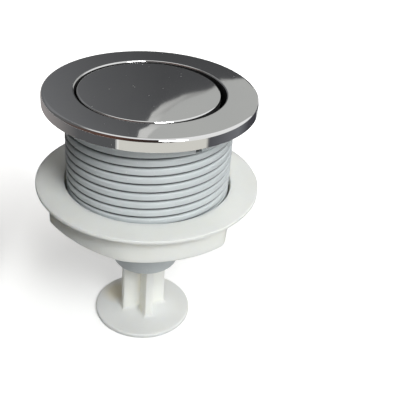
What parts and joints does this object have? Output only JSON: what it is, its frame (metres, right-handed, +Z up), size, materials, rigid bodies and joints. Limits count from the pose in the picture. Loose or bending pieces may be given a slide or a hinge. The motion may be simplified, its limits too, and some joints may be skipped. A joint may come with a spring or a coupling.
{
  "type": "push button cistern actuator",
  "caption": "Push button for a cistern lid: chrome button in a flat bezel, threaded grey barrel with a white lock nut, and a sprung cross rod with a round foot.",
  "frame": {"origin": "on the axis, in the seat plane where the bezel's rim rests on the cistern lid", "axes": "+Z up out of the cistern along the axis of barrel and rod, -Y towards the camera of the picture"},
  "size_m": [0.0798, 0.0798, 0.0958],
  "materials": {
    "plated_chrome": "polished",
    "grey_plastic": "satin",
    "natural_plastic": "satin",
    "steel": "satin"
  },
  "bodies": {
    "guide": {"guide_tube": "grey_plastic", "return_spring": "steel"},
    "button": {"button_cap": "plated_chrome", "button_carrier": "grey_plastic", "rod_screw": "steel", "push_rod": "natural_plastic"},
    "housing": {"threaded_barrel": "grey_plastic", "bezel": "plated_chrome"},
    "nut": {"lock_nut": "natural_plastic"}
  },
  "joints": [
    {"name": "button_press", "type": "slide", "parent": "guide", "child": "button", "axis": [0, 0, -1], "range_m": [0, 0.009], "stiffness_N_per_m": 300, "springref_m": -0.012, "deforming": ["return_spring"]},
    {"name": "housing_turn", "type": "hinge", "parent": "guide", "child": "housing", "pos_m": [0, 0, 0], "axis": [0, 0, -1], "range_deg": [-450, 1530]},
    {"name": "nut_travel", "type": "slide", "parent": "guide", "child": "nut", "axis": [0, 0, 1], "range_m": [-0.0078, 0.0264]}
  ],
  "couplings": [
    {"joint": "nut_travel", "follows": "housing_turn", "m_per_rad": 0.00098676}
  ]
}
